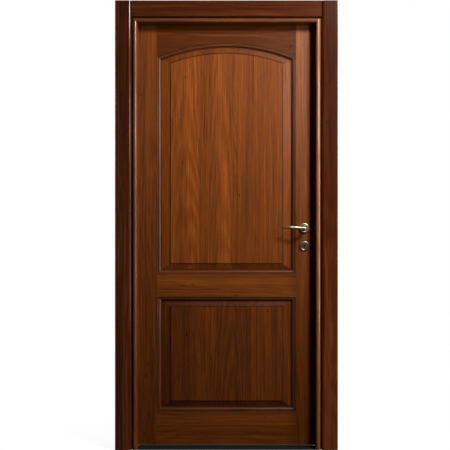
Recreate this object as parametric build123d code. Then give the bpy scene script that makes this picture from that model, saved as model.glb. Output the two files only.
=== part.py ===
from build123d import *
import os
from math import cos, radians, sin, sqrt

os.makedirs("parts", exist_ok=True)

# A hinged interior door of solid wood in its own frame. The leaf is rebated: it closes against a
# stop in the jambs, and its thin outer flange laps over the jambs on the far side. Seen from the
# front (-Y) the leaf stands back in the frame. Millimetres, +Z up, X = 0 in the middle of the
# doorway, Z = 0 on the floor, Y = 0 halfway between the front casings and the back lever's grip.

# Doorway and wall
clear_width = 880.0
clear_height = 2100.0
wall_thickness = 80.0

# Casings, front and back
casing_width = 80.0
casing_thickness = 18.0
casing_side_round = 15.0
casing_head_round = 5.0
casing_outer_round = 3.0
tongue_cover = 4.0
tongue_width = 6.0
tongue_length = 15.0
tongue_clearance = 0.2

# Jambs
jamb_thickness = 40.0
nose_width = 21.5
nose_setback = 2.0
quirk_width = 5.0
stop_overlap = 8.0
fixing_hole_radius = 4.0
fixing_above_lower_hinge = 200.0
fixing_below_middle_hinge = 200.0
fixing_above_middle_hinge = 300.0
fixing_below_upper_hinge = 100.0
fixing_from_stop = 9.0

# Seals in the stop
seal_gap = 3.0
seal_stem_width = 4.0
seal_stem_depth = 7.0
seal_stem_from_edge = 3.0
seal_bulb_width = 7.0
seal_clearance = 0.3
seal_mitre_gap = 0.2
seal_lip = 1.0

# Leaf
leaf_thickness = 44.0
leaf_gap = 3.0
flange_width = 12.0
flange_gap = 1.0
flange_round = 2.0
undercut = 8.0
stile_width = 101.0
bottom_rail_height = 165.0
middle_rail_bottom = 749.0
middle_rail_height = 110.0
top_rail_height = 92.0
arch_rise = 72.0

# Panels and the mouldings round them
panel_gap = 1.5
panel_tongue_half = 5.0
panel_field_half = 17.0
bevel_low_half = 6.5
bevel_high_half = 14.0
bevel_width_side = 40.0
bevel_width_end = 26.0
bevel_start_gap = 0.5
groove_depth = 1.5
groove_width = 2.5
field_round = 3.0
moulding_width = 24.0
bead_width = 5.0
bead_quirk_width = 1.5
bead_quirk_depth = 3.5
moulding_lip_width = 3.5
moulding_lip_depth = 13.5
ovolo_end_depth = 12.5

# Dowels between rails and stiles
dowel_radius = 6.0
dowel_length = 100.0
dowel_clearance = 0.05
dowel_from_edge = 40.0

# Hinges
hinge_from_floor = 250.0
hinge_from_top = 258.0
hinge_barrel_radius = 7.0
hinge_half_length = 48.0
hinge_split = 0.2
hinge_standoff = 1.0
hinge_pin_radius = 4.0
hinge_pin_clearance = 0.05
hinge_pin_in_frame_half = 40.0
hinge_pin_in_leaf_half = 38.0
hinge_stem_radius = 3.0
hinge_frame_stem_length = 62.0
hinge_leaf_stem_length = 48.0
hinge_leaf_stem_angle = 30.0

# Lock
spindle_from_stile_edge = 41.0
spindle_height = 1090.0
key_drop = 90.0
wood_behind_case = 16.0
case_thickness = 16.0
case_above = 45.0
case_below = 125.0
case_wall = 1.5
case_clearance = 0.2
forend_width = 22.0
forend_length = 240.0
forend_thickness = 3.0
bolt_clearance = 0.25
post_radius = 2.5
post_clearance = 0.1
keyhole_width = 6.5
keyhole_height = 20.0
key_passage_margin = 1.0

# Latch bolt
latch_throw = 11.0
latch_rise = 24.0
latch_height = 24.0
latch_thickness = 12.0
latch_inside = 14.0
latch_flat = 3.0
latch_tail_thickness = 4.0
latch_tail_height = 11.0
latch_prong_width = 4.0
latch_prong_gap = 1.0
latch_prong_bottom = 10.2

# Dead bolt
dead_throw = 20.0
dead_drop = 60.0
dead_height = 30.0
dead_thickness = 8.0
dead_inside = 20.0
dead_tail_gap = 7.5
dead_tail_height = 20.0
dead_tail_thickness = 4.0
talon_width = 6.0
talon_drop = 84.0

# Follower and spindle
follower_radius = 9.5
hub_radius = 8.5
hub_clearance = 0.05
arm_length = 16.5
arm_width = 6.0
spindle_side = 8.0
spindle_clearance = 0.05
spindle_hole_radius = 12.0
spindle_grip = 26.0

# Strike plate
strike_width = 24.0
strike_thickness = 2.0
strike_above = 60.0
strike_below = 95.0
strike_corner = 4.0
strike_hole_margin = 1.5
pocket_end_clearance = 1.5

# Screws
screw_head_radius = 4.0
screw_shank_radius = 2.0
screw_head_height = 2.0
forend_screw_length = 28.0
forend_screw_inset = 9.0
strike_screw_length = 18.0
strike_screw_inset = 8.0
jamb_screw_length = 70.0
stop_screw_share = 0.3
ledge_screw_share = 0.75

# Lever and roses
lever_reach = 58.0
neck_radius = 9.0
neck_thin_radius = 6.5
neck_straight = 14.0
neck_taper_end = 34.0
neck_clearance = 0.05
rose_radius = 25.0
rose_edge_height = 4.5
rose_height = 9.0
rose_ring_inner = 15.5
rose_dish_height = 4.0
rose_collar_radius = 11.5
rose_collar_height = 7.0
key_rose_edge_height = 3.0
key_rose_height = 7.0
key_rose_plate_height = 5.0

# Widths and heights worked out from the sizes above
half_clear = clear_width / 2
leaf_half = half_clear + stop_overlap
leaf_top = clear_height + stop_overlap
flange_half = leaf_half + flange_width
flange_top = leaf_top + flange_width
rebate_out = stop_overlap + leaf_gap
casing_out = nose_width + quirk_width
casing_half = half_clear + casing_out
tongue_inset = jamb_thickness - casing_out - tongue_width - tongue_cover
casing_base = clear_height + casing_out
opening_half = leaf_half - stile_width
lower_sill = undercut + bottom_rail_height
upper_sill = middle_rail_bottom + middle_rail_height
crown = leaf_top - top_rail_height
arch_radius = (opening_half**2 + arch_rise**2) / (2 * arch_rise)
arch_centre = crown - arch_radius
springing = crown - arch_rise

# Depths worked out from the sizes above
overall_depth = wall_thickness + 2 * casing_thickness + lever_reach
front_y = -overall_depth / 2
wall_front_y = front_y + casing_thickness
wall_back_y = wall_front_y + wall_thickness
leaf_back_y = wall_back_y + casing_thickness
leaf_front_y = leaf_back_y - leaf_thickness
leaf_mid_y = leaf_back_y - leaf_thickness / 2
flange_y = wall_back_y + flange_gap
stop_y = leaf_front_y - seal_gap
nose_y = front_y + nose_setback
lock_y = (leaf_front_y + flange_y) / 2

# Places along the height
hinge_lower = hinge_from_floor
hinge_upper = leaf_top - hinge_from_top
hinge_middle = (hinge_lower + hinge_upper) / 2
hinge_heights = {"lower": hinge_lower, "middle": hinge_middle, "upper": hinge_upper}
fixing_heights = (
    hinge_lower + fixing_above_lower_hinge,
    hinge_middle - fixing_below_middle_hinge,
    hinge_middle + fixing_above_middle_hinge,
    hinge_upper - fixing_below_upper_hinge,
)

# Lock places
spindle_x = opening_half + spindle_from_stile_edge
case_depth = stile_width - forend_thickness - wood_behind_case
dead_tail_length = case_depth - case_wall - dead_inside - dead_tail_gap
key_z = spindle_height - key_drop
forend_x = leaf_half - forend_thickness
case_back_x = forend_x - case_depth
rebate_x = half_clear + rebate_out
latch_z = spindle_height + latch_rise
dead_z = spindle_height - dead_drop

# Hinge axis: over the gap between the flange and the back casing
hinge_x = -(flange_half + casing_half) / 2
hinge_y = leaf_back_y + hinge_standoff + hinge_barrel_radius

LOW = (Align.CENTER, Align.CENTER, Align.MIN)
LEAF_MIDDLE = Plane(origin=(0, leaf_mid_y, 0), z_dir=(0, 1, 0))
solids = {}


def block(x0, x1, y0, y1, z0, z1):
    """A plain block between two corners."""
    return Pos((x0 + x1) / 2, (y0 + y1) / 2, (z0 + z1) / 2) * Box(x1 - x0, y1 - y0, z1 - z0)


def plate(face, y0, y1):
    """A face drawn in the front view (x, z), made solid between two depths."""
    return Pos(0, (y0 + y1) / 2, 0) * extrude(Plane.XZ * face, amount=(y1 - y0) / 2, both=True)


def polygon(*points):
    return make_face(Polyline(*points, close=True))


def run(face, origin, inward, length):
    """A strip of constant section along an edge: the face's x goes inward, its y goes back."""
    inward = Vector(*inward)
    along = inward.cross(Vector(0, 1, 0))
    section = Plane(origin=origin, x_dir=inward, z_dir=along)
    return extrude(section * face, amount=length / 2, both=True)


def ring(face, y):
    """A strip of constant section along the arch, made as a whole ring."""
    section = Plane(origin=(0, y, crown), x_dir=(0, 0, -1), z_dir=(1, 0, 0))
    return revolve(section * face, axis=Axis((0, 0, arch_centre), (0, 1, 0)), revolution_arc=360)


def rod(start, direction, radius, length):
    return Plane(origin=start, z_dir=direction) * Cylinder(radius, length, align=LOW)


def screw(start, direction, length):
    """A countersunk screw with its head's face at start."""
    head = Cone(screw_head_radius, screw_shank_radius, screw_head_height, align=LOW)
    shank = Cylinder(screw_shank_radius, length - screw_head_height, align=LOW)
    return Plane(origin=start, z_dir=direction) * (head + Pos(0, 0, screw_head_height) * shank)


def turned(face, x, y, z):
    """A turned piece on the leaf's front: the face's x is the radius and its y stands forward."""
    section = Plane(origin=(x, y, z), x_dir=(1, 0, 0), z_dir=(0, 0, -1))
    return revolve(section * face, axis=Axis((x, y, z), (0, 1, 0)), revolution_arc=360)


def to_back(shape):
    """The same piece on the leaf's back."""
    return mirror(shape, about=LEAF_MIDDLE)


def to_left(shape):
    return mirror(shape, about=Plane.YZ)


# Region of each frame member, so that the corners are mitred
far = jamb_thickness + casing_width
near = casing_out
side_region = plate(
    polygon(
        (half_clear - near, 0),
        (half_clear + far, 0),
        (half_clear + far, clear_height + far),
        (half_clear - near, clear_height - near),
    ),
    front_y,
    leaf_back_y,
)
head_region = plate(
    polygon(
        (-half_clear + near, clear_height - near),
        (half_clear - near, clear_height - near),
        (half_clear + far, clear_height + far),
        (-half_clear - far, clear_height + far),
    ),
    front_y,
    leaf_back_y,
)
LOCK_EDGE = (half_clear, 0, clear_height / 2)
HEAD_EDGE = (0, 0, clear_height)
side_run = clear_height + 2 * far
head_run = clear_width + 2 * far


# Jambs: a half-round nose, a quirk, a seat for each casing with a groove for its tongue, and
# the rebate with the seal's groove in the stop
def jamb_section():
    nose_r = nose_width / 2
    groove_0 = casing_out + tongue_inset
    groove_1 = groove_0 + tongue_width
    stem_0 = seal_stem_from_edge
    stem_1 = stem_0 + seal_stem_width
    points = [
        (nose_width, nose_y + nose_r),
        (nose_width, wall_front_y),
        (groove_0, wall_front_y),
        (groove_0, wall_front_y + tongue_length),
        (groove_1, wall_front_y + tongue_length),
        (groove_1, wall_front_y),
        (jamb_thickness, wall_front_y),
        (jamb_thickness, wall_back_y),
        (groove_1, wall_back_y),
        (groove_1, wall_back_y - tongue_length),
        (groove_0, wall_back_y - tongue_length),
        (groove_0, wall_back_y),
        (rebate_out, wall_back_y),
        (rebate_out, stop_y),
        (stem_1, stop_y),
        (stem_1, stop_y - seal_stem_depth),
        (stem_0, stop_y - seal_stem_depth),
        (stem_0, stop_y),
        (0, stop_y),
        (0, nose_y + nose_r),
    ]
    nose = ThreePointArc(points[-1], (nose_r, nose_y), points[0])
    return make_face(Polyline(*points) + nose)


jamb_face = jamb_section()
side_jamb = run(jamb_face, LOCK_EDGE, (1, 0, 0), side_run) & side_region
head_jamb = run(jamb_face, HEAD_EDGE, (0, 0, 1), head_run) & head_region
for height in fixing_heights:
    side_jamb -= rod(
        (half_clear, stop_y + fixing_from_stop, height), (1, 0, 0), fixing_hole_radius, jamb_thickness
    )
hinge_jamb = to_left(side_jamb)
lock_jamb = side_jamb


# Screws that draw each mitre together, from above into the side jambs
jamb_screws = Part()
for share in (stop_screw_share, ledge_screw_share):
    depth = wall_front_y + wall_thickness * share
    for side in (-1, 1):
        x = side * (half_clear + jamb_thickness / 2)
        jamb_screws += screw((x, depth, clear_height + jamb_thickness), (0, 0, -1), jamb_screw_length)
hinge_jamb -= jamb_screws
lock_jamb -= jamb_screws
head_jamb -= jamb_screws


# Casings: a flat board with a broad rounded inner edge, and a tongue in the jamb's groove
def casing_section(inner_round):
    tongue_0 = tongue_inset + tongue_clearance
    tongue_1 = tongue_inset + tongue_width - tongue_clearance
    t = casing_thickness
    r = inner_round
    q = casing_outer_round
    k = 1 - sqrt(0.5)
    lines = Polyline(
        (0, r),
        (0, t),
        (tongue_0, t),
        (tongue_0, t + tongue_length - tongue_clearance),
        (tongue_1, t + tongue_length - tongue_clearance),
        (tongue_1, t),
        (casing_width, t),
        (casing_width, q),
    )
    outer = ThreePointArc((casing_width, q), (casing_width - q * k, q * k), (casing_width - q, 0))
    front = Line((casing_width - q, 0), (r, 0))
    inner = ThreePointArc((r, 0), (r * k, r * k), (0, r))
    return make_face(lines + outer + front + inner)


wall_middle = Plane(origin=(0, (wall_front_y + wall_back_y) / 2, 0), z_dir=(0, 1, 0))
casing_side_length = casing_base + casing_width
front_casing_right = run(
    casing_section(casing_side_round),
    (casing_half, front_y, casing_side_length / 2),
    (1, 0, 0),
    casing_side_length,
)
front_casing_right -= block(
    casing_half,
    casing_half + casing_width,
    wall_front_y,
    wall_front_y + tongue_length,
    casing_base + tongue_inset,
    casing_side_length,
)
front_casing_head = run(
    casing_section(casing_head_round), (0, front_y, casing_base), (0, 0, 1), 2 * casing_half
)
front_casing_left = to_left(front_casing_right)
back_casing_left = mirror(front_casing_left, about=wall_middle)
back_casing_right = mirror(front_casing_right, about=wall_middle)
back_casing_head = mirror(front_casing_head, about=wall_middle)


# Seals: a stem pressed in the stop's groove, and a bulb that the leaf's face meets. The head's
# strip is cut a hair short at each mitre
def seal_section():
    stem_0 = seal_stem_from_edge
    stem_1 = stem_0 + seal_stem_width
    bulb_0 = (stem_0 + stem_1 - seal_bulb_width) / 2
    bulb_1 = bulb_0 + seal_bulb_width
    top = stop_y + seal_gap - seal_clearance
    lip = stop_y + seal_lip
    lines = Polyline(
        (bulb_0, lip),
        (bulb_0, stop_y),
        (stem_0, stop_y),
        (stem_0, stop_y - seal_stem_depth),
        (stem_1, stop_y - seal_stem_depth),
        (stem_1, stop_y),
        (bulb_1, stop_y),
        (bulb_1, lip),
    )
    bulb = ThreePointArc((bulb_1, lip), ((bulb_0 + bulb_1) / 2, top), (bulb_0, lip))
    return make_face(lines + bulb)


seal_right = run(seal_section(), LOCK_EDGE, (1, 0, 0), side_run) & side_region
seal_left = to_left(seal_right)
seal_head = run(seal_section(), HEAD_EDGE, (0, 0, 1), head_run) & Pos(0, 0, seal_mitre_gap) * head_region


# Leaf frame: stiles full height, rails between them, and the flange along sides and top
lock_stile = block(opening_half, leaf_half, leaf_front_y, leaf_back_y, undercut, leaf_top)
lock_stile += block(opening_half, flange_half, flange_y, leaf_back_y, undercut, flange_top)
flange_arris = [
    e
    for e in lock_stile.edges().filter_by(Axis.Z)
    if abs(e.center().X - flange_half) < 0.01 and abs(e.center().Y - leaf_back_y) < 0.01
]
lock_stile = fillet(flange_arris, flange_round)
hinge_stile = to_left(lock_stile)


def rail(z0, z1):
    return block(-opening_half, opening_half, leaf_front_y, leaf_back_y, z0, z1)


bottom_rail = rail(undercut, lower_sill)
middle_rail = rail(middle_rail_bottom, upper_sill)


def arched_face(gap, sill):
    """The upper opening's outline, drawn in from the wood by a gap."""
    half = opening_half - gap
    radius = arch_radius - gap
    spring = arch_centre + sqrt(radius**2 - half**2)
    sides = Polyline((half, spring), (half, sill + gap), (-half, sill + gap), (-half, spring))
    arch = ThreePointArc((-half, spring), (0, crown - gap), (half, spring))
    return make_face(sides + arch)


top_rail = rail(springing, leaf_top)
top_rail += block(-opening_half, opening_half, flange_y, leaf_back_y, springing, flange_top)
top_rail -= plate(arched_face(0, upper_sill), leaf_front_y - 1, leaf_back_y + 1)

# Dowels, two to each joint
dowel_holes = Part()
rail_dowels = Part()
dowel_heights = (
    undercut + dowel_from_edge,
    lower_sill - dowel_from_edge,
    middle_rail_bottom + dowel_from_edge * 0.7,
    upper_sill - dowel_from_edge * 0.7,
    springing + dowel_from_edge * 1.1,
    leaf_top - dowel_from_edge,
)
for height in dowel_heights:
    for side in (-1, 1):
        start = (side * (opening_half - dowel_length / 2), leaf_mid_y, height)
        rail_dowels += rod(start, (side, 0, 0), dowel_radius, dowel_length)
        dowel_holes += rod(start, (side, 0, 0), dowel_radius + dowel_clearance, dowel_length)
lock_stile -= dowel_holes
hinge_stile -= dowel_holes
bottom_rail -= dowel_holes
middle_rail -= dowel_holes
top_rail -= dowel_holes


# Raised panels: what is cut away in front of the tongue, the bevel and the groove round the field
def panel_cut(bevel_width):
    mid = leaf_thickness / 2
    start = moulding_width + bevel_start_gap
    end = start + bevel_width
    wall = end + groove_width
    front = -field_round
    field = mid - panel_field_half
    high = mid - bevel_high_half
    k = field_round * (1 - sqrt(0.5))
    lines = Polyline(
        (wall + field_round, field),
        (wall + field_round, front),
        (-field_round, front),
        (-field_round, mid - panel_tongue_half),
        (start, mid - panel_tongue_half),
        (start, mid - bevel_low_half),
        (end, high),
        (end, high + groove_depth),
        (wall, high + groove_depth),
        (wall, field + field_round),
    )
    edge = ThreePointArc((wall, field + field_round), (wall + k, field + k), (wall + field_round, field))
    return make_face(lines + edge)


def raised_panel(outline, sill, head, arched):
    """A panel cut from its outline, with its four bevels on both faces."""
    panel = plate(outline, leaf_mid_y - panel_field_half, leaf_mid_y + panel_field_half)
    height = head - sill
    middle = (sill + head) / 2
    sides = panel_cut(bevel_width_side)
    ends = panel_cut(bevel_width_end)
    cuts = [run(ends, (0, leaf_front_y, sill), (0, 0, 1), 2 * opening_half)]
    for side in (-1, 1):
        edge = (side * opening_half, leaf_front_y, middle)
        cuts.append(run(sides, edge, (-side, 0, 0), height + 2 * panel_gap))
    if arched:
        cuts.append(ring(ends, leaf_front_y))
    else:
        cuts.append(run(ends, (0, leaf_front_y, head), (0, 0, -1), 2 * opening_half))
    for cut in cuts:
        panel -= cut
        panel -= to_back(cut)
    return panel


upper_panel = raised_panel(arched_face(panel_gap, upper_sill), upper_sill, crown, True)
lower_outline = polygon(
    (-opening_half + panel_gap, lower_sill + panel_gap),
    (opening_half - panel_gap, lower_sill + panel_gap),
    (opening_half - panel_gap, middle_rail_bottom - panel_gap),
    (-opening_half + panel_gap, middle_rail_bottom - panel_gap),
)
lower_panel = raised_panel(lower_outline, lower_sill, middle_rail_bottom, False)


# Panel mouldings: a bead, a quirk and an ovolo down to the bevel, mitred at each corner
def moulding_section():
    back = leaf_thickness / 2 - panel_tongue_half
    bead_r = bead_width / 2
    ovolo_0 = bead_width + bead_quirk_width
    ovolo_1 = moulding_width - moulding_lip_width
    drop = ovolo_end_depth - bead_quirk_depth
    span = ovolo_1 - ovolo_0
    bead = ThreePointArc((0, bead_r), (bead_r, 0), (bead_width, bead_r))
    quirk = Polyline((bead_width, bead_r), (bead_width, bead_quirk_depth), (ovolo_0, bead_quirk_depth))
    ovolo_mid = (ovolo_0 + span * sqrt(0.5), bead_quirk_depth + drop * (1 - sqrt(0.5)))
    ovolo = ThreePointArc((ovolo_0, bead_quirk_depth), ovolo_mid, (ovolo_1, ovolo_end_depth))
    rest = Polyline(
        (ovolo_1, ovolo_end_depth),
        (ovolo_1, moulding_lip_depth),
        (moulding_width, moulding_lip_depth),
        (moulding_width, back),
        (0, back),
        (0, bead_r),
    )
    return make_face(bead + quirk + ovolo + rest)


moulding_face = moulding_section()
w = opening_half
m = moulding_width
inner_spring = arch_centre + sqrt((arch_radius - m) ** 2 - (w - m) ** 2)


def moulding_pieces(sill, spring, inner, head, arched):
    """The left, right, bottom and top lengths round one opening, on the front face."""
    depths = (leaf_front_y, leaf_mid_y)
    middle = (sill + spring) / 2
    length = spring - sill
    side_cut = polygon((w, sill), (w - m, sill + m), (w - m, inner), (w, spring))
    right = run(moulding_face, (w, leaf_front_y, middle), (-1, 0, 0), length) & plate(side_cut, *depths)
    bottom_cut = polygon((-w, sill), (w, sill), (w - m, sill + m), (-w + m, sill + m))
    bottom = run(moulding_face, (0, leaf_front_y, sill), (0, 0, 1), 2 * w) & plate(bottom_cut, *depths)
    if arched:
        top_cut = polygon((-w, spring), (-w + m, inner), (w - m, inner), (w, spring), (w, head), (-w, head))
        top = ring(moulding_face, leaf_front_y) & plate(top_cut, *depths)
    else:
        top_cut = polygon((-w, head), (-w + m, head - m), (w - m, head - m), (w, head))
        top = run(moulding_face, (0, leaf_front_y, head), (0, 0, -1), 2 * w) & plate(top_cut, *depths)
    return {"left": to_left(right), "right": right, "bottom": bottom, "top": top}


upper_mouldings = moulding_pieces(upper_sill, springing, inner_spring, crown, True)
lower_mouldings = moulding_pieces(
    lower_sill, middle_rail_bottom, middle_rail_bottom - m, middle_rail_bottom, False
)


# Hinges: two barrels on one pin, each with a stem screwed into the wood
def hinge_barrel(z0, up):
    """A barrel from its split towards its domed end."""
    dome = 2.0
    length = hinge_half_length - hinge_split - dome
    barrel = Cylinder(hinge_barrel_radius, length, align=LOW)
    cap = Cone(hinge_barrel_radius, hinge_barrel_radius - dome, dome, align=LOW)
    direction = (0, 0, 1) if up else (0, 0, -1)
    return Plane(origin=(hinge_x, hinge_y, z0), z_dir=direction) * (barrel + Pos(0, 0, length) * cap)


leaf_stem_direction = (cos(radians(hinge_leaf_stem_angle)), -sin(radians(hinge_leaf_stem_angle)), 0)
hinge_pins = Part()
for name, height in hinge_heights.items():
    stem_z = hinge_half_length / 2
    pin = rod(
        (hinge_x, hinge_y, height - hinge_pin_in_frame_half),
        (0, 0, 1),
        hinge_pin_radius,
        hinge_pin_in_frame_half + hinge_pin_in_leaf_half,
    )
    bore = rod(
        (hinge_x, hinge_y, height - hinge_split),
        (0, 0, 1),
        hinge_pin_radius + hinge_pin_clearance,
        hinge_pin_in_leaf_half + hinge_split + 2 * hinge_pin_clearance,
    )
    frame_stem = rod(
        (hinge_x, hinge_y, height - stem_z), (0, -1, 0), hinge_stem_radius, hinge_frame_stem_length
    )
    leaf_stem = rod(
        (hinge_x, hinge_y, height + stem_z),
        leaf_stem_direction,
        hinge_stem_radius,
        hinge_leaf_stem_length,
    )
    solids["hinge_frame_half_" + name] = hinge_barrel(height - hinge_split, False) + frame_stem - pin
    solids["hinge_leaf_half_" + name] = hinge_barrel(height + hinge_split, True) + leaf_stem - bore
    hinge_pins += pin
    hinge_jamb -= frame_stem
    hinge_stile -= leaf_stem


# Keyhole: a slot with rounded ends, through the leaf
def key_slot(margin, y0, y1):
    width = keyhole_width + 2 * margin
    height = keyhole_height + 2 * margin
    slot = Pos(spindle_x, key_z) * SlotOverall(height, width, rotation=90)
    return plate(slot, y0, y1)


# Lock case: a thin steel box, its cavity, hub holes, keyhole, mouths for both bolts and posts
case_z0 = spindle_height - case_below
case_z1 = spindle_height + case_above
half_case = case_thickness / 2
lock_case = block(case_back_x, forend_x, lock_y - half_case, lock_y + half_case, case_z0, case_z1)
lock_case -= block(
    case_back_x + case_wall,
    forend_x - case_wall,
    lock_y - half_case + case_wall,
    lock_y + half_case - case_wall,
    case_z0 + case_wall,
    case_z1 - case_wall,
)
hub_hole = rod(
    (spindle_x, lock_y - half_case, spindle_height), (0, 1, 0), hub_radius + hub_clearance, case_thickness
)
lock_case -= hub_hole
lock_case -= key_slot(key_passage_margin, lock_y - half_case, lock_y + half_case)


def mouth(z, height, thickness, x0, x1):
    """The passage of a bolt, with its clearance all round."""
    c = bolt_clearance
    half_y = thickness / 2 + c
    half_z = height / 2 + c
    return block(x0, x1, lock_y - half_y, lock_y + half_y, z - half_z, z + half_z)


latch_mouth = mouth(latch_z, latch_height, latch_thickness, forend_x - case_wall, leaf_half)
dead_mouth = mouth(dead_z, dead_height, dead_thickness, forend_x - case_wall, leaf_half)
lock_case -= latch_mouth
lock_case -= dead_mouth
prong_x = spindle_x - arm_width / 2 - latch_prong_gap
dead_back_x = forend_x - dead_inside
latch_post_x = (prong_x + forend_x - latch_inside - latch_throw) / 2
dead_post_x = dead_back_x - (dead_tail_length - dead_throw) / 2
for x, z in ((latch_post_x, latch_z), (dead_post_x, dead_z)):
    lock_case += rod((x, lock_y - half_case, z), (0, 1, 0), post_radius, case_thickness)

# Forend plate, let into the leaf's edge, and its screws
forend_z = (case_z0 + case_z1) / 2
forend_face = Plane(origin=(forend_x, lock_y, forend_z), x_dir=(0, 0, 1), z_dir=(1, 0, 0))
lock_forend = extrude(forend_face * SlotOverall(forend_length, forend_width), amount=forend_thickness)
mortise = block(
    case_back_x - case_clearance,
    forend_x,
    lock_y - half_case - case_clearance,
    lock_y + half_case + case_clearance,
    case_z0 - case_clearance,
    case_z1 + case_clearance,
)
lock_stile -= mortise
lock_stile -= lock_forend
lock_stile -= rod((spindle_x, leaf_front_y, spindle_height), (0, 1, 0), spindle_hole_radius, leaf_thickness)
lock_stile -= key_slot(key_passage_margin, leaf_front_y, leaf_back_y)
lock_forend -= latch_mouth
lock_forend -= dead_mouth
forend_screws = Part()
for side in (-1, 1):
    z = forend_z + side * (forend_length / 2 - forend_screw_inset)
    forend_screws += screw((leaf_half, lock_y, z), (-1, 0, 0), forend_screw_length)
lock_forend -= forend_screws
lock_stile -= forend_screws

# Follower: a hub with a square hole, and an arm that draws the latch back
follower = rod(
    (spindle_x, lock_y - half_case + case_wall + bolt_clearance, spindle_height),
    (0, 1, 0),
    follower_radius,
    case_thickness - 2 * case_wall - 2 * bolt_clearance,
)
follower += rod((spindle_x, lock_y - half_case, spindle_height), (0, 1, 0), hub_radius, case_thickness)
follower += block(
    spindle_x - arm_width / 2,
    spindle_x + arm_width / 2,
    lock_y - latch_thickness / 2,
    lock_y + latch_thickness / 2,
    spindle_height,
    spindle_height + arm_length,
)


def square_bar(side, y0, y1):
    h = side / 2
    return block(spindle_x - h, spindle_x + h, y0, y1, spindle_height - h, spindle_height + h)


spindle = square_bar(spindle_side, leaf_front_y - spindle_grip, leaf_back_y + spindle_grip)
spindle_hole_side = spindle_side + 2 * spindle_clearance
follower -= square_bar(spindle_hole_side, lock_y - case_thickness, lock_y + case_thickness)

# Latch bolt: a head bevelled on the side that meets the strike, a slotted tail and a prong
latch_half = latch_thickness / 2
latch_head_face = polygon(
    (forend_x - latch_inside, lock_y - latch_half),
    (leaf_half, lock_y - latch_half),
    (leaf_half + latch_throw, lock_y + latch_half - latch_flat),
    (leaf_half + latch_throw, lock_y + latch_half),
    (forend_x - latch_inside, lock_y + latch_half),
)
latch_bolt = Pos(0, 0, latch_z - latch_height / 2) * extrude(Plane.XY * latch_head_face, amount=latch_height)
tail_half = latch_tail_thickness / 2
latch_bolt += block(
    prong_x - latch_prong_width,
    forend_x - latch_inside,
    lock_y - tail_half,
    lock_y + tail_half,
    latch_z - latch_tail_height / 2,
    latch_z + latch_tail_height / 2,
)
latch_bolt += block(
    prong_x - latch_prong_width,
    prong_x,
    lock_y - tail_half,
    lock_y + tail_half,
    spindle_height + latch_prong_bottom,
    latch_z,
)


def tail_slot(post_x, z, back, ahead):
    """A slot round a post: the tail moves back and ahead of its place by these lengths."""
    r = post_radius + post_clearance
    y0 = lock_y - half_case
    y1 = lock_y + half_case
    slot = block(post_x - ahead, post_x + back, y0, y1, z - r, z + r)
    slot += rod((post_x - ahead, y0, z), (0, 1, 0), r, case_thickness)
    return slot + rod((post_x + back, y0, z), (0, 1, 0), r, case_thickness)


latch_bolt -= tail_slot(latch_post_x, latch_z, latch_throw + post_clearance, post_clearance)

# Dead bolt: a plain head, a slotted tail and the talon that the key pushes
dead_bolt = block(
    dead_back_x,
    leaf_half,
    lock_y - dead_thickness / 2,
    lock_y + dead_thickness / 2,
    dead_z - dead_height / 2,
    dead_z + dead_height / 2,
)
dead_bolt += block(
    dead_back_x - dead_tail_length,
    dead_back_x,
    lock_y - dead_tail_thickness / 2,
    lock_y + dead_tail_thickness / 2,
    dead_z - dead_tail_height / 2,
    dead_z + dead_tail_height / 2,
)
dead_bolt += block(
    dead_back_x - dead_tail_length,
    dead_back_x - dead_tail_length + talon_width,
    lock_y - dead_tail_thickness / 2,
    lock_y + dead_tail_thickness / 2,
    spindle_height - talon_drop,
    dead_z,
)
dead_bolt -= tail_slot(dead_post_x, dead_z, post_clearance, dead_throw + post_clearance)

# Strike plate in the lock jamb's rebate, with a pocket behind each bolt
strike_z0 = spindle_height - strike_below
strike_z1 = spindle_height + strike_above
strike_plane = Plane(
    origin=(rebate_x, lock_y, (strike_z0 + strike_z1) / 2), x_dir=(0, 0, 1), z_dir=(1, 0, 0)
)
strike_blank = RectangleRounded(strike_z1 - strike_z0, strike_width, strike_corner)
strike_plate = extrude(strike_plane * strike_blank, amount=strike_thickness)
lock_jamb -= strike_plate


def strike_pocket(z, height, thickness, depth):
    """The hole in the strike plate and the wood behind it."""
    half_y = thickness / 2 + strike_hole_margin
    half_z = height / 2 + strike_hole_margin
    y0, y1 = lock_y - half_y, lock_y + half_y
    return block(rebate_x, leaf_half + depth, y0, y1, z - half_z, z + half_z)


for pocket in (
    strike_pocket(latch_z, latch_height, latch_thickness, latch_throw + pocket_end_clearance),
    strike_pocket(dead_z, dead_height, dead_thickness, dead_throw + pocket_end_clearance),
):
    strike_plate -= pocket
    lock_jamb -= pocket
strike_screws = Part()
for z in (strike_z0 + strike_screw_inset, strike_z1 - strike_screw_inset):
    strike_screws += screw((rebate_x, lock_y, z), (1, 0, 0), strike_screw_length)
strike_plate -= strike_screws
lock_jamb -= strike_screws


# Rose under the lever: a domed ring, a dish inside it and a collar that carries the neck
def lever_rose():
    bore = neck_radius + neck_clearance
    ring_middle = (rose_ring_inner + rose_radius) / 2
    lines = Polyline(
        (rose_ring_inner, rose_edge_height),
        (rose_ring_inner, rose_dish_height),
        (rose_collar_radius, rose_dish_height),
        (rose_collar_radius, rose_collar_height),
        (bore, rose_collar_height),
        (bore, 0),
        (rose_radius, 0),
        (rose_radius, rose_edge_height),
    )
    dome = ThreePointArc(
        (rose_radius, rose_edge_height), (ring_middle, rose_height), (rose_ring_inner, rose_edge_height)
    )
    return turned(make_face(lines + dome), spindle_x, leaf_front_y, spindle_height)


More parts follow.
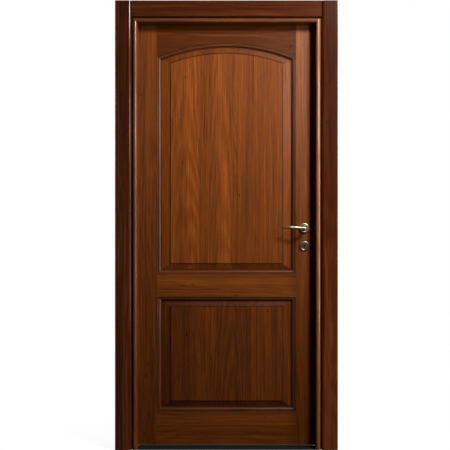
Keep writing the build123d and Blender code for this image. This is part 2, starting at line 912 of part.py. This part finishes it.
# Key escutcheon: the same ring, lower, round a flat plate with the keyhole
def key_rose():
    ring_middle = (rose_ring_inner + rose_radius) / 2
    lines = Polyline(
        (rose_ring_inner, key_rose_plate_height),
        (0, key_rose_plate_height),
        (0, 0),
        (rose_radius, 0),
        (rose_radius, key_rose_edge_height),
    )
    dome = ThreePointArc(
        (rose_radius, key_rose_edge_height),
        (ring_middle, key_rose_height),
        (rose_ring_inner, key_rose_plate_height),
    )
    disc = turned(make_face(lines + dome), spindle_x, leaf_front_y, key_z)
    return disc - key_slot(0, leaf_front_y - key_rose_height, leaf_front_y)


# Lever: a turned neck, and a grip that swells, thins and bends back towards the leaf
grip_stations = (
    # along the grip, forward of the leaf, half depth, half height, above the spindle
    (-8.0, 49.5, 2.0, 2.5, -0.8),
    (-5.0, 50.0, 4.4, 4.8, -0.7),
    (2.0, 50.5, 5.4, 6.0, -0.4),
    (22.0, 51.5, 5.2, 5.8, 0.8),
    (50.0, 52.3, 5.6, 7.0, 2.4),
    (78.0, 51.0, 5.3, 6.6, 2.6),
    (98.0, 46.5, 4.4, 5.2, 1.2),
    (109.0, 41.5, 3.2, 3.8, 0.0),
    (114.0, 38.5, 1.6, 2.0, -0.8),
)


def lever():
    shaft = Polyline(
        (0, 0),
        (neck_radius, 0),
        (neck_radius, neck_straight),
        (neck_thin_radius, neck_taper_end),
        (neck_thin_radius - 1.5, lever_reach - 8),
        (0, lever_reach - 8),
        (0, 0),
    )
    neck = turned(make_face(shaft), spindle_x, leaf_front_y, spindle_height)
    sections = []
    for along, forward, half_depth, half_height, above in grip_stations:
        centre = (spindle_x - along, leaf_front_y - forward, spindle_height + above)
        station = Plane(origin=centre, x_dir=(0, 1, 0), z_dir=(-1, 0, 0))
        sections.append(station * Ellipse(half_depth, half_height))
    socket = square_bar(spindle_hole_side, leaf_front_y - spindle_grip, leaf_front_y)
    return neck + loft(sections) - socket


lever_front = lever()
rose_front = lever_rose()
key_rose_front = key_rose()

# Each jamb is glued up from two: the ledge that the leaf closes in, and the stop with its nose
stop_region = block(-half_clear - far, half_clear + far, front_y, stop_y, 0, clear_height + far)

# The nodes, in the order the door is put together
solids.update(
    {
        "hinge_jamb": hinge_jamb - stop_region,
        "lock_jamb": lock_jamb - stop_region,
        "head_jamb": head_jamb - stop_region,
        "hinge_jamb_stop": hinge_jamb & stop_region,
        "lock_jamb_stop": lock_jamb & stop_region,
        "head_jamb_stop": head_jamb & stop_region,
        "jamb_screws": jamb_screws,
        "front_casing_left": front_casing_left,
        "front_casing_right": front_casing_right,
        "front_casing_head": front_casing_head,
        "back_casing_left": back_casing_left,
        "back_casing_right": back_casing_right,
        "back_casing_head": back_casing_head,
        "seals": seal_left + seal_right + seal_head,
        "strike_plate": strike_plate,
        "strike_screws": strike_screws,
        "hinge_pins": hinge_pins,
        "hinge_stile": hinge_stile,
        "lock_stile": lock_stile,
        "top_rail": top_rail,
        "middle_rail": middle_rail,
        "bottom_rail": bottom_rail,
        "rail_dowels": rail_dowels,
        "upper_panel": upper_panel,
        "lower_panel": lower_panel,
        "lock_case": lock_case,
        "lock_forend": lock_forend,
        "forend_screws": forend_screws,
        "lever_rose_front": rose_front,
        "lever_rose_back": to_back(rose_front),
        "key_rose_front": key_rose_front,
        "key_rose_back": to_back(key_rose_front),
        "lever_front": lever_front,
        "lever_back": to_back(lever_front),
        "spindle": spindle,
        "lock_follower": follower,
        "latch_bolt": latch_bolt,
        "dead_bolt": dead_bolt,
    }
)
for place, pieces in (("upper", upper_mouldings), ("lower", lower_mouldings)):
    for position, piece in pieces.items():
        solids[f"{place}_moulding_front_{position}"] = piece
        solids[f"{place}_moulding_back_{position}"] = to_back(piece)

for name, shape in solids.items():
    export_step(shape, f"parts/{name}.step")
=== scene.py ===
import bpy
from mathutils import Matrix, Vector


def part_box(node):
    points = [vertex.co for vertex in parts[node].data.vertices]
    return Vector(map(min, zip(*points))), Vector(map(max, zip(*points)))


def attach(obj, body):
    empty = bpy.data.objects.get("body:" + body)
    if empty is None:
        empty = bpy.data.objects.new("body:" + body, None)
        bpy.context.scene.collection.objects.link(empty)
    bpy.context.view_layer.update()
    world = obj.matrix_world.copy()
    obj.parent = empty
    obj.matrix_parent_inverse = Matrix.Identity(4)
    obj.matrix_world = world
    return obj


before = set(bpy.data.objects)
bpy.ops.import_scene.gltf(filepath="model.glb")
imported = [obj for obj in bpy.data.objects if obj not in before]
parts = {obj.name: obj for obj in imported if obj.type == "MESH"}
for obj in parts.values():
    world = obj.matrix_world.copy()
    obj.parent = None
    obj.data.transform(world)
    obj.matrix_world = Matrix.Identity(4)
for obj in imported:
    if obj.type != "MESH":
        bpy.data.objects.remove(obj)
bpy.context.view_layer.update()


# Camera: straight in front of the leaf, level, at half the height of the frame. It stands 4 m
# from the face of the casings.
camera_data = bpy.data.cameras.new("front_camera")
camera_data.lens = 65.3
camera_data.sensor_width = 36.0
camera = bpy.data.objects.new("front_camera", camera_data)
camera.location = (-0.007, -4.087, 1.105)
camera.rotation_euler = (1.5707963, 0.0, 0.0)
bpy.context.scene.collection.objects.link(camera)
bpy.context.scene.camera = camera
bpy.context.scene.view_settings.view_transform = "Standard"


# Studio: a plain pale floor and a white surround. A soft lamp stands high at the front right, a
# weak one is below it, and a tall strip far to the right draws the edges. A large lamp lights
# the back of the door, and two light the outer sides of its frame.
def add(tree, kind, inputs=None, **settings):
    """Adds a shader node; an input that is given another node's output is linked to it."""
    node = tree.nodes.new("ShaderNode" + kind)
    for name, value in settings.items():
        setattr(node, name, value)
    for name, value in (inputs or {}).items():
        if isinstance(value, bpy.types.NodeSocket):
            tree.links.new(value, node.inputs[name])
        else:
            node.inputs[name].default_value = value
    return node


def spread_over(tree, value, low, high, first, last):
    """Maps value from low..high to first..last and holds it at both ends."""
    return add(tree, "MapRange", {0: value, 1: low, 2: high, 3: first, 4: last}).outputs[0]


def seen_white(tree, place):
    """1 where the camera or clear glass looks at the surround. A reflection finds it white on the
    side behind the door, where the backdrop is, and dim on the side of the room."""
    room_edge, backdrop_edge = -0.1, 0.2
    rays = add(tree, "LightPath").outputs
    depth = add(tree, "SeparateXYZ", {0: place}).outputs[1]
    behind = spread_over(tree, depth, room_edge, backdrop_edge, 0.0, 1.0)
    mirrored = add(tree, "Math", {0: rays["Is Glossy Ray"], 1: behind}, operation="MULTIPLY")
    either = add(
        tree, "Math", {0: rays["Is Camera Ray"], 1: mirrored.outputs[0]}, operation="MAXIMUM"
    )
    return add(
        tree, "Math", {0: either.outputs[0], 1: rays["Is Transmission Ray"]}, operation="MAXIMUM"
    ).outputs[0]


world = bpy.data.worlds.new("white_surround")
bpy.context.scene.world = world
world.use_nodes = True
world.node_tree.nodes.clear()
tree = world.node_tree
dim = add(tree, "Background", {"Color": (0.95, 0.97, 1.0, 1.0), "Strength": 0.06})
white = add(tree, "Background", {"Color": (1.0, 1.0, 1.0, 1.0), "Strength": 1.0})
heading = add(tree, "TexCoord").outputs["Generated"]
choice = add(
    tree, "MixShader", {0: seen_white(tree, heading), 1: dim.outputs[0], 2: white.outputs[0]}
)
add(tree, "OutputWorld", {"Surface": choice.outputs[0]})

floor_mesh = bpy.data.meshes.new("studio_floor")
reach = 14.0
under = -0.0005
floor_corners = ((-reach, -reach), (reach, -reach), (reach, reach), (-reach, reach))
floor_mesh.from_pydata([(x, y, under) for x, y in floor_corners], [], [(0, 1, 2, 3)])
floor = bpy.data.objects.new("studio_floor", floor_mesh)
bpy.context.scene.collection.objects.link(floor)
pale = bpy.data.materials.new("pale_floor")
pale.use_nodes = True
pale.node_tree.nodes.clear()
tree = pale.node_tree
# matt is near black: bounced light finds the floor this dark, and in the doorway the camera sees
# it too, as a painted shadow.
matt = add(tree, "BsdfDiffuse", {"Color": (0.015, 0.015, 0.015, 1.0)})
paper = add(tree, "BsdfDiffuse", {"Color": (0.8, 0.8, 0.8, 1.0)})
glow = add(tree, "Emission", {"Color": (1.0, 1.0, 1.0, 1.0), "Strength": 1.0})
# The strip of floor in the doorway is painted near black, a painted shadow under the leaf,
# and a short way out from it the floor is white.
doorway_shift = (0.0, 0.03, 0.0)
half_doorway = (0.43, 0.03, 0.0)
painted_shadow_until, pale_from = 0.01, 0.045
near_glow, full_glow_from = 0.8, 0.8
spot = add(tree, "TexCoord").outputs["Object"]
centred = add(tree, "VectorMath", {0: spot, 1: doorway_shift}, operation="ADD").outputs[0]
outward = add(tree, "VectorMath", {0: centred}, operation="ABSOLUTE").outputs[0]
beyond = add(tree, "VectorMath", {0: outward, 1: half_doorway}, operation="SUBTRACT").outputs[0]
beyond = add(tree, "VectorMath", {0: beyond, 1: (0.0, 0.0, 0.0)}, operation="MAXIMUM").outputs[0]
away = add(tree, "VectorMath", {0: beyond}, operation="LENGTH").outputs["Value"]
fade = spread_over(tree, away, 0.0, full_glow_from, near_glow, 1.0)
shaded = add(tree, "MixShader", {0: fade, 1: paper.outputs[0], 2: glow.outputs[0]})
outside_painted_shadow = spread_over(tree, away, painted_shadow_until, pale_from, 0.0, 1.0)
bright = add(tree, "Math", {0: seen_white(tree, spot), 1: outside_painted_shadow}, operation="MULTIPLY")
surface = add(tree, "MixShader", {0: bright.outputs[0], 1: matt.outputs[0], 2: shaded.outputs[0]})
add(tree, "OutputMaterial", {"Surface": surface.outputs[0]})
floor_mesh.materials.append(pale)


def soft_lamp(name, place, target, size, power, colour=(1.0, 1.0, 1.0)):
    """A soft box that faces its target. Its size is its width and height."""
    data = bpy.data.lights.new(name, "AREA")
    data.shape = "RECTANGLE"
    data.size, data.size_y = size
    data.energy = power
    data.color = colour
    lamp = bpy.data.objects.new(name, data)
    lamp.location = place
    lamp.rotation_euler = (Vector(target) - Vector(place)).to_track_quat("-Z", "Y").to_euler()
    bpy.context.scene.collection.objects.link(lamp)


warm_white = (1.0, 0.98, 0.96)
soft_lamp("key_lamp", (1.3, -1.75, 2.95), (0.1, 0.0, 2.3), (0.55, 0.55), 120.0, warm_white)
soft_lamp("side_lamp", (1.2, -1.5, 1.9), (0.1, 0.0, 2.1), (0.5, 0.5), 14.0, warm_white)
soft_lamp("strip_lamp", (2.3, -1.1, 1.25), (0.1, 0.0, 1.25), (0.3, 2.0), 34.0, warm_white)
soft_lamp("back_lamp", (-1.6, 3.2, 2.6), (0.0, 0.0, 1.1), (2.0, 2.0), 140.0)
soft_lamp("left_edge_lamp", (-3.0, 0.3, 1.6), (0.0, 0.0, 1.1), (0.5, 1.6), 60.0)
soft_lamp("right_edge_lamp", (3.0, 0.3, 1.6), (0.0, 0.0, 1.1), (0.5, 1.6), 60.0)


# Jambs: two uprights and a head of solid wood. Each is glued up from a ledge that the leaf closes
# in and a stop that is rounded to a nose at the front, and is stained brown and lacquered satin.
def grain_space(tree, place, grain, seed):
    """Coordinates across, into and along the grain, moved so that no two boards match."""
    x, y, z = add(tree, "SeparateXYZ", {0: place}).outputs
    across, along = (x, z) if grain == "upright" else (z, x)
    return across, add(
        tree,
        "VectorMath",
        {
            0: add(tree, "CombineXYZ", {0: across, 1: y, 2: along}).outputs[0],
            1: (0.37 * seed, 0.61 * seed, 1.73 * seed),
        },
        operation="ADD",
    ).outputs[0]


def streaks(tree, space, fineness, run, detail=2.0, roughness=0.5):
    """Noise that is drawn out along the grain; its value keeps near a half. fineness and run are
    how many waves it has to the metre across the grain and along it."""
    stretch = (fineness, fineness, run)
    stretched = add(tree, "VectorMath", {0: space, 1: stretch}, operation="MULTIPLY")
    return add(
        tree,
        "TexNoise",
        {"Vector": stretched.outputs[0], "Scale": 1.0, "Detail": detail, "Roughness": roughness},
    ).outputs[0]


def ramp(tree, factor, stops, kind="LINEAR"):
    """A colour ramp through (place, colour) stops."""
    node = add(tree, "ValToRGB", {0: factor})
    node.color_ramp.interpolation = kind
    while len(node.color_ramp.elements) < len(stops):
        node.color_ramp.elements.new(1.0)
    for element, (place, colour) in zip(node.color_ramp.elements, stops):
        element.position = place
        element.color = (*colour, 1.0)
    return node.outputs[0]


def product(tree, first, second):
    """The product of two values."""
    return add(tree, "Math", {0: first, 1: second}, operation="MULTIPLY").outputs[0]


def product_plus(tree, first, second, base):
    """first * second + base."""
    return add(tree, "Math", {0: first, 1: second, 2: base}, operation="MULTIPLY_ADD").outputs[0]


def weigh(tree, value, weight, base):
    """base + weight * (value - a half)."""
    spread = add(tree, "Math", {0: value, 1: -0.5}, operation="ADD").outputs[0]
    return product_plus(tree, spread, weight, base)


def by_board(tree, across, boards, lift=0.0):
    """The value of each board in (edge, value) pairs across the grain, raised by lift. The last
    pair closes the last board."""
    first, last = boards[0][0], boards[-1][0]
    share = spread_over(tree, across, first, last, 0.0, 1.0)
    stops = [((edge - first) / (last - first), (lift + value,) * 3) for edge, value in boards[:-1]]
    return ramp(tree, share, stops, "CONSTANT")


def arched_turns(tree, place, across, slope, hearts):
    """Turns of the sine that draws growth rings cut at a flat angle: arches that rise up the
    middle of each board. hearts are (edge, middle) pairs, in metres across the grain."""
    sway, wander, bend, climb = 0.12, 45.0, 2800.0, 22.0
    half = 0.5  # keeps the middles above zero in the ramp
    shifted = add(
        tree, "Math", {0: across, 1: weigh(tree, slope, sway, half)}, operation="ADD"
    ).outputs[0]
    middle = by_board(tree, across, hearts, half)
    aside = add(tree, "Math", {0: shifted, 1: middle}, operation="SUBTRACT").outputs[0]
    turns = product(tree, slope, wander)
    turns = product_plus(tree, product(tree, aside, aside), bend, turns)
    height = add(tree, "SeparateXYZ", {0: place}).outputs[2]
    return product_plus(tree, height, climb, turns)


def one_board(lightness):
    """A single board that spans the whole door."""
    return ((-0.6, lightness), (2.3, lightness))


def lacquered_wood(
    name,
    grain,
    tones,
    seed,
    boards=(),
    hearts=(),
    bands=0.6,
    painted_foot_light=0.0,
    shine=0.2,
    dull=0.4,
    coat=0.08,
):
    """Stained and lacquered wood. tones run from the dark streaks to the light ones. boards are
    (edge, lightness) pairs across the grain, in metres, and hearts place the arched figure of
    each board. bands is the strength of the wide streaks. heel is painted light and shade: how
    much lighter an upright board is made at its foot, or darker where it is below zero, standing
    in for how the lamps fall off down the door. The inner corners are darkened as painted shade,
    and cut ends, which soak up more colour, are darker."""
    material = bpy.data.materials.new(name)
    material.use_nodes = True
    tree = material.node_tree
    tree.nodes.clear()
    place = add(tree, "TexCoord").outputs["Object"]
    across, space = grain_space(tree, place, grain, seed)
    lightness = 0.5
    if boards:
        lightness = by_board(tree, across, boards)
        board_step = (7.0, 7.0, 7.0)
        shift = add(tree, "VectorMath", {0: lightness, 1: board_step}, operation="MULTIPLY")
        moved = add(tree, "VectorMath", {0: space, 1: shift.outputs[0]}, operation="ADD")
        space = moved.outputs[0]
    drift = weigh(tree, streaks(tree, space, 5.0, 1.1, 1.0), 0.02, 0.0)
    drifted = add(tree, "CombineXYZ", {0: drift, 1: drift}).outputs[0]
    space = add(tree, "VectorMath", {0: space, 1: drifted}, operation="ADD").outputs[0]
    broad = streaks(tree, space, 20.0, 0.5)
    slope = streaks(tree, space, 6.0, 0.7, 1.0)
    if hearts:
        turns, arches = arched_turns(tree, place, across, slope, hearts), 0.085
    else:
        turns, arches = product(tree, slope, 90.0), 0.06
    figure = add(tree, "Math", {0: turns}, operation="SINE").outputs[0]
    rings = streaks(tree, space, 90.0, 0.6, roughness=0.6)
    fine = streaks(tree, space, 280.0, 1.6, roughness=0.65)
    fibre = streaks(tree, space, 640.0, 9.0)
    pores = streaks(tree, space, 1500.0, 45.0, 1.0)
    pins = streaks(tree, space, 90.0, 32.0, 0.0)
    tone = lightness
    layers = ((broad, bands), (figure, arches), (rings, bands), (fine, 0.9), (fibre, 0.9))
    for layer, strength in layers:
        tone = weigh(tree, layer, strength, tone)
    # Painted light and shade: an upright board is made lighter towards its foot, or darker where
    # the amount is below zero.
    if painted_foot_light:
        heel_low, heel_high = 0.1, 1.8
        length = add(tree, "SeparateXYZ", {0: place}).outputs[2]
        foot = spread_over(tree, length, heel_low, heel_high, painted_foot_light, 0.0)
        tone = add(tree, "Math", {0: tone, 1: foot}, operation="ADD").outputs[0]
    steps = (0.12, 0.42, 0.68, 0.95)
    colour = ramp(tree, tone, list(zip(steps, tones)))
    pore_shade, knot_shade, corner_shade, end_shade = 0.55, 0.35, 0.12, 0.68
    open_pore = spread_over(tree, pores, 0.6, 0.72, 1.0, pore_shade)
    pin_knot = spread_over(tree, pins, 0.81, 0.87, 1.0, knot_shade)
    # Painted shade: the colour is darkened in the inner corners and grooves of each part, by
    # ambient occlusion.
    corner = add(tree, "AmbientOcclusion", {"Distance": 0.012}, samples=6, only_local=True)
    painted_corner_shade = spread_over(tree, corner.outputs["AO"], 0.55, 0.97, corner_shade, 1.0)
    facing = add(tree, "SeparateXYZ", {0: add(tree, "TexCoord").outputs["Normal"]})
    tilt = facing.outputs[2 if grain == "upright" else 0]
    tilt = add(tree, "Math", {0: tilt}, operation="ABSOLUTE").outputs[0]
    end_grain = spread_over(tree, tilt, 0.08, 0.3, 1.0, end_shade)
    dark = product(tree, open_pore, pin_knot)
    dark = product(tree, product(tree, dark, painted_corner_shade), end_grain)
    filled = add(
        tree,
        "VectorMath",
        {0: colour, 1: add(tree, "CombineXYZ", {0: dark, 1: dark, 2: dark}).outputs[0]},
        operation="MULTIPLY",
    ).outputs[0]
    height = weigh(tree, fibre, 0.5, open_pore)
    bump = add(tree, "Bump", {"Strength": 0.25, "Distance": 0.0002, "Height": height})
    gloss = weigh(tree, fibre, 0.16, dull)
    skin = add(
        tree,
        "BsdfPrincipled",
        {
            "Base Color": filled,
            "Roughness": gloss,
            "Normal": bump.outputs[0],
            "Specular IOR Level": shine,
            "Coat Weight": coat,
            "Coat Roughness": 0.16,
        },
    )
    add(tree, "OutputMaterial", {"Surface": skin.outputs[0]})
    return material


def finish_part(name, material):
    """Gives a part of the frame or leaf its finish."""
    for place in parts[name].material_slots:
        place.material = material


jamb_tones = (
    (0.05, 0.013, 0.003), (0.11, 0.028, 0.005), (0.17, 0.046, 0.009), (0.24, 0.07, 0.014)
)
for number, (side, grain, lightness, coat) in enumerate(
    (("hinge", "upright", 0.5, 0.6), ("lock", "upright", 0.9, 1.0), ("head", "level", 0.3, 0.2))
):
    ledge_wood = lacquered_wood(f"jamb_wood_{side}", grain, jamb_tones, 1.0 + number)
    finish_part(f"{side}_jamb", ledge_wood)
    board = one_board(lightness)
    stop_wood = lacquered_wood(
        f"stop_wood_{side}", grain, jamb_tones, 1.5 + number, board, coat=coat
    )
    finish_part(f"{side}_jamb_stop", stop_wood)


# Casings: flat boards with a rounded inner edge that cover the joint with the wall, on both
# faces. A tongue on each goes into a groove in the jamb. The head one stands between the sides.
casing_tones = (
    (0.02, 0.004, 0.001), (0.04, 0.008, 0.002), (0.056, 0.0125, 0.003), (0.115, 0.03, 0.009)
)
# The casings are painted lighter towards their feet, the right one most.
for number, (face, side) in enumerate(
    (face, side) for face in ("front", "back") for side in ("left", "right", "head")
):
    grain = "level" if side == "head" else "upright"
    lightness, painted_foot_light = {"left": (0.42, 0.34), "right": (0.3, 0.68), "head": (0.5, 0.0)}[side]
    finish_part(
        f"{face}_casing_{side}",
        lacquered_wood(
            f"casing_wood_{face}_{side}",
            grain,
            casing_tones,
            4.0 + number,
            one_board(lightness),
            painted_foot_light=painted_foot_light,
            shine=0.0,
            dull=0.5,
            coat=0.45 if face == "front" else 0.2,
        ),
    )


# Seals: soft brown rubber strips in the stop of the frame, pressed into a groove. The leaf
# closes on them.
def plain_surface(name, colour, roughness, metallic=0.0, mottle=0.15, grain_size=900.0, bump=0.1):
    """Rubber or metal with a fine uneven surface. grain_size is its specks to the metre; the
    clouds of its tone are specks_across times as wide."""
    specks_across = 12.0
    material = bpy.data.materials.new(name)
    material.use_nodes = True
    tree = material.node_tree
    tree.nodes.clear()
    place = add(tree, "TexCoord").outputs["Object"]
    cloud = add(
        tree, "TexNoise", {"Vector": place, "Scale": grain_size / specks_across, "Detail": 4.0}
    ).outputs[0]
    speck = add(tree, "TexNoise", {"Vector": place, "Scale": grain_size, "Detail": 2.0}).outputs[0]
    darker = tuple(c * (1.0 - mottle) for c in colour)
    lighter = tuple(min(1.0, c * (1.0 + mottle)) for c in colour)
    shade = ramp(tree, cloud, [(0.35, darker), (0.65, lighter)])
    skin = add(
        tree,
        "BsdfPrincipled",
        {
            "Base Color": shade,
            "Metallic": metallic,
            "Roughness": weigh(tree, cloud, 0.3, roughness),
            "Normal": add(
                tree, "Bump", {"Strength": bump, "Distance": 0.0002, "Height": speck}
            ).outputs[0],
        },
    )
    add(tree, "OutputMaterial", {"Surface": skin.outputs[0]})
    return material


finish_part("seals", plain_surface("seal_rubber", (0.03, 0.018, 0.012), 0.6))


# Jamb screws and strike plate: steel screws hold the corners of the frame. The strike plate is
# satin brass sheet, let into the jamb and held by two screws.
zinc_steel = plain_surface("zinc_steel", (0.55, 0.56, 0.58), 0.35, metallic=1.0)
plate_brass = plain_surface("plate_brass", (0.6, 0.44, 0.24), 0.3, metallic=1.0)
finish_part("jamb_screws", zinc_steel)
finish_part("strike_plate", plate_brass)
finish_part("strike_screws", plate_brass)


# Hinges: three pairs of turned brass barrels on steel pins, screwed into jamb and stile by
# their stems.
for level in ("lower", "middle", "upper"):
    finish_part(f"hinge_frame_half_{level}", plate_brass)
    finish_part(f"hinge_leaf_half_{level}", plate_brass)
finish_part("hinge_pins", zinc_steel)


# Stiles and rails: the solid frame of the leaf. Stiles run full height with upright grain, and
# the rails are dowelled between them with level grain.
stile_tones = (
    (0.05, 0.012, 0.0015), (0.105, 0.025, 0.002), (0.15, 0.037, 0.003), (0.21, 0.058, 0.007)
)
# The stiles are painted darker towards their feet, as painted shade.
for number, (side, lightness, painted_foot_light) in enumerate((("hinge", 0.47, -0.15), ("lock", 0.66, -0.28))):
    board = one_board(lightness)
    stile_wood = lacquered_wood(
        f"stile_wood_{side}", "upright", stile_tones, 11.0 + number, board, painted_foot_light=painted_foot_light
    )
    finish_part(f"{side}_stile", stile_wood)
for number, (level, lightness, shine) in enumerate(
    (("top", 0.14, 0.07), ("middle", 0.54, 0.2), ("bottom", 0.41, 0.2))
):
    finish_part(
        f"{level}_rail",
        lacquered_wood(
            f"rail_wood_{level}",
            "level",
            stile_tones,
            13.0 + number,
            one_board(lightness),
            shine=shine,
            coat=0.4 * shine,
        ),
    )
beech_tones = ((0.38, 0.22, 0.11), (0.46, 0.29, 0.15), (0.52, 0.34, 0.19), (0.6, 0.41, 0.24))
finish_part("rail_dowels", lacquered_wood("bare_beech", "level", beech_tones, 16.0))


# Panels: raised panels with a bevel all round, held loose in the grooves of the leaf. Each is
# glued up from upright boards of different tone.
panel_tones = (
    (0.05, 0.011, 0.0015), (0.112, 0.026, 0.002), (0.168, 0.04, 0.003), (0.26, 0.07, 0.007)
)
upper_boards = (
    (-0.36, 0.6),
    (-0.2, 0.62),
    (-0.136, 0.5),
    (-0.046, 0.62),
    (0.028, 0.47),
    (0.176, 0.46),
    (0.36, 0.5),
)
lower_boards = (
    (-0.36, 0.25), (-0.21, 0.33), (-0.08, 0.29), (0.09, 0.35), (0.22, 0.33), (0.36, 0.35)
)
# A board with its heart far off to one side shows straight grain.
upper_hearts = ((-0.36, -0.195), (-0.136, -0.02), (0.055, 0.45), (0.36, 0.45))
lower_hearts = ((-0.36, -0.5), (-0.08, 0.02), (0.09, 0.45), (0.36, 0.45))
for level, seed, boards, hearts in (
    ("upper", 17.0, upper_boards, upper_hearts), ("lower", 18.0, lower_boards, lower_hearts)
):
    finish_part(
        f"{level}_panel",
        lacquered_wood(
            f"panel_wood_{level}",
            "upright",
            panel_tones,
            seed,
            boards,
            hearts,
            bands=0.4,
            shine=0.1,
            dull=0.5,
            coat=0.03,
        ),
    )


# Mouldings: a bead, a quirk and an ovolo, run on strips that are mitred round each panel and
# pinned to the leaf, four to a face. The upper one on top is cut to the arch.
moulding_tones = (
    (0.03, 0.008, 0.002), (0.065, 0.016, 0.003), (0.1, 0.025, 0.004), (0.14, 0.038, 0.007)
)
for number, (level, face, side) in enumerate(
    (level, face, side)
    for level in ("upper", "lower")
    for face in ("front", "back")
    for side in ("left", "right", "bottom", "top")
):
    grain = "upright" if side in ("left", "right") else "level"
    moulding_wood = lacquered_wood(
        f"moulding_wood_{level}_{face}_{side}", grain, moulding_tones, 20.0 + number, coat=0.4
    )
    finish_part(f"{level}_moulding_{face}_{side}", moulding_wood)


# Lock: a steel case in a mortise, with a brass forend, a spring latch that the spindle draws
# back, and a bolt that a key throws. The steel inside the leaf is coloured near black as
# painted shade, so that the keyhole looks dark.
painted_shade_steel = plain_surface("painted_shade_steel", (0.025, 0.022, 0.02), 0.7, metallic=1.0)
for name in ("lock_case", "lock_follower", "spindle"):
    finish_part(name, painted_shade_steel)
for name in ("lock_forend", "forend_screws", "latch_bolt", "dead_bolt"):
    finish_part(name, plate_brass)


# Lock levers: a stack of thin steel levers inside the case, on the far side of the bolt's tail,
# that a key lifts. They close the view through the keyhole, and their near-black colour is
# painted shade.
rose_low, rose_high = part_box("key_rose_front")
key_x = (rose_low[0] + rose_high[0]) / 2.0
key_z = (rose_low[2] + rose_high[2]) / 2.0
near_face, far_face = 0.002, 0.00495
half_width, below_key, above_key = 0.01, 0.016, 0.014
stack_corners = [
    (x, y, z)
    for y in (near_face, far_face)
    for z in (key_z - below_key, key_z + above_key)
    for x in (key_x - half_width, key_x + half_width)
]
stack_mesh = bpy.data.meshes.new("lock_levers")
stack_mesh.from_pydata(
    stack_corners,
    [],
    [(0, 1, 3, 2), (4, 6, 7, 5), (0, 4, 5, 1), (2, 3, 7, 6), (0, 2, 6, 4), (1, 5, 7, 3)],
)
lock_levers = bpy.data.objects.new("lock_levers", stack_mesh)
bpy.context.scene.collection.objects.link(lock_levers)
stack_mesh.materials.append(painted_shade_steel)
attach(lock_levers, "leaf")


# Roses and levers: cast and turned brass, satin and aged, and darker round the keyhole. The
# levers sit on the spindle, one to a face.
aged_brass = plain_surface(
    "aged_brass", (0.52, 0.4, 0.27), 0.36, metallic=1.0, mottle=0.12, grain_size=700.0, bump=0.06
)
dark_brass = plain_surface(
    "dark_brass", (0.24, 0.18, 0.13), 0.36, metallic=1.0, mottle=0.2, grain_size=700.0, bump=0.06
)
for face in ("front", "back"):
    finish_part(f"lever_{face}", aged_brass)
    finish_part(f"lever_rose_{face}", aged_brass)
    finish_part(f"key_rose_{face}", dark_brass)
